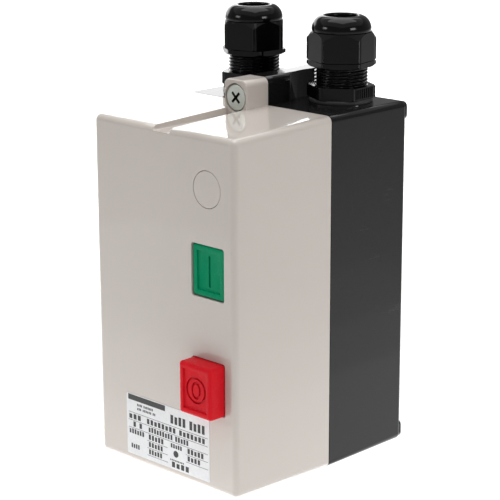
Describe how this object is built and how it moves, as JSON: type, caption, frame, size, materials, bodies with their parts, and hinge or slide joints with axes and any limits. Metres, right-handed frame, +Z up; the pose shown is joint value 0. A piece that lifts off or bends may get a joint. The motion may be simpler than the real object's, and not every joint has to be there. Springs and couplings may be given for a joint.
{
  "type": "magnetic motor starter",
  "caption": "Magnetic motor starter in a plastic enclosure: off-white cover with start and stop buttons on a black base with two cable glands, contactor and overload relay inside.",
  "frame": {"origin": "on the wall plane behind the rear pads, at the middle of the four wall screws, which is mid-height and mid-width of the box", "axes": "+Z up, towards the cable glands; the front with the buttons looks along -Y; +Y points into the wall; +X is to the right of someone facing the front"},
  "size_m": [0.094, 0.1249, 0.2246],
  "materials": {
    "base_plastic": "fine satin moulded, black",
    "cover_plastic": "satin gloss moulded, warm off-white",
    "screw_metal": "zinc plated",
    "gland_nylon": "glossy moulded nylon, black",
    "gland_rubber": "matt, black",
    "green_plastic": "satin gloss, green",
    "red_plastic": "satin gloss, red",
    "label_film": "printed film, white with black rules",
    "seal_rubber": "matt, dark",
    "spring_steel": "drawn wire",
    "retainer_plastic": "natural",
    "device_plastic": "moulded thermoset, dark grey",
    "device_cover_plastic": "moulded, light grey",
    "carrier_plastic": "moulded, near black",
    "core_steel": "stacked laminations",
    "copper": "bare copper",
    "silver": "contact silver",
    "brass": "turned brass",
    "bimetal": "rolled strip",
    "dial_plastic": "yellow",
    "reset_plastic": "blue"
  },
  "bodies": {
    "base": {"base_shell": "base_plastic", "contactor_screws": "screw_metal", "terminal_screws": "screw_metal", "earth_screw": "screw_metal", "gland_body_left": "gland_nylon", "gland_body_right": "gland_nylon", "gland_locknuts": "gland_nylon", "gland_washers": "gland_rubber", "gland_seals": "gland_rubber", "return_springs": "spring_steel", "start_switch_spring": "spring_steel", "reset_spring": "spring_steel", "coil_bobbin": "retainer_plastic", "contactor_base": "device_plastic", "contactor_housing": "device_plastic", "start_switch_body": "device_plastic", "relay_housing": "device_plastic", "arc_cover": "device_cover_plastic", "start_switch_cover": "device_cover_plastic", "relay_cover": "device_cover_plastic", "fixed_core": "core_steel", "coil_winding": "copper", "shading_rings": "copper", "fixed_contacts": "copper", "start_switch_contacts": "copper", "relay_links": "copper", "relay_load_terminals": "copper", "fixed_contact_tips": "silver", "thread_inserts": "brass", "earth_terminal": "brass", "bimetal_strips": "bimetal", "heater_windings": "bimetal"},
    "start_button": {"start_button": "green_plastic"},
    "stop_button": {"stop_button": "red_plastic"},
    "cover_screw_top": {"cover_screw_top": "screw_metal"},
    "cover_screw_bottom": {"cover_screw_bottom": "screw_metal"},
    "gland_cap_left": {"gland_cap_left": "gland_nylon"},
    "gland_cap_right": {"gland_cap_right": "gland_nylon"},
    "armature": {"moving_core": "core_steel", "contact_carrier": "carrier_plastic", "moving_contacts": "copper", "moving_contact_tips": "silver", "contact_springs": "spring_steel"},
    "start_plunger": {"start_plunger": "carrier_plastic", "start_bridge": "copper"},
    "trip_slider": {"trip_slider": "carrier_plastic"},
    "current_dial": {"current_dial": "dial_plastic"},
    "reset_plunger": {"reset_plunger": "reset_plastic"},
    "cover": {"cover_shell": "cover_plastic", "cover_gasket": "seal_rubber", "rating_label": "label_film", "blanking_plug": "cover_plastic", "start_button_seal": "seal_rubber", "stop_button_seal": "seal_rubber", "button_retainer": "retainer_plastic", "retainer_screws": "screw_metal", "start_button_spring": "spring_steel", "stop_button_spring": "spring_steel"}
  },
  "joints": [
    {"name": "cover_removal", "type": "slide", "parent": "base", "child": "cover", "axis": [0, -1, 0], "range_m": [0, 0.12]},
    {"name": "start_press", "type": "slide", "parent": "cover", "child": "start_button", "axis": [0, 1, 0], "range_m": [0, 0.004], "stiffness_N_per_m": 300, "springref_m": -0.006, "deforming": ["start_button_spring"]},
    {"name": "stop_press", "type": "slide", "parent": "cover", "child": "stop_button", "axis": [0, 1, 0], "range_m": [0, 0.005], "stiffness_N_per_m": 300, "springref_m": -0.006, "deforming": ["stop_button_spring"]},
    {"name": "cover_screw_top_turn", "type": "hinge", "parent": "cover", "child": "cover_screw_top", "pos_m": [0, -0.061, 0.0896], "axis": [0, 1, 0], "continuous": true},
    {"name": "cover_screw_bottom_turn", "type": "hinge", "parent": "cover", "child": "cover_screw_bottom", "pos_m": [0, -0.061, -0.0896], "axis": [0, 1, 0], "continuous": true},
    {"name": "gland_cap_left_turn", "type": "hinge", "parent": "base", "child": "gland_cap_left", "pos_m": [-0.0283, -0.027, 0.112], "axis": [0, 0, 1], "continuous": true},
    {"name": "gland_cap_right_turn", "type": "hinge", "parent": "base", "child": "gland_cap_right", "pos_m": [0.0283, -0.027, 0.112], "axis": [0, 0, 1], "continuous": true},
    {"name": "armature_pull_in", "type": "slide", "parent": "base", "child": "armature", "axis": [0, 1, 0], "range_m": [0, 0.004], "stiffness_N_per_m": 500, "springref_m": -0.006, "deforming": ["return_springs"]},
    {"name": "start_plunger_slide", "type": "slide", "parent": "base", "child": "start_plunger", "axis": [0, 1, 0], "range_m": [0, 0.004], "stiffness_N_per_m": 150, "springref_m": -0.004, "deforming": ["start_switch_spring"]},
    {"name": "reset_plunger_slide", "type": "slide", "parent": "base", "child": "reset_plunger", "axis": [0, 1, 0], "range_m": [0, 0.005], "stiffness_N_per_m": 150, "springref_m": -0.004, "deforming": ["reset_spring"]},
    {"name": "trip_slider_slide", "type": "slide", "parent": "base", "child": "trip_slider", "axis": [1, 0, 0], "range_m": [0, 0.0012], "stiffness_N_per_m": 150, "springref_m": -0.002},
    {"name": "current_dial_turn", "type": "hinge", "parent": "base", "child": "current_dial", "pos_m": [-0.0015, -0.08, -0.03], "axis": [0, -1, 0], "range_deg": [-120, 120]}
  ],
  "couplings": [
    {"joint": "start_plunger_slide", "follows": "start_press", "ratio": 1},
    {"joint": "reset_plunger_slide", "follows": "stop_press", "ratio": 1}
  ]
}
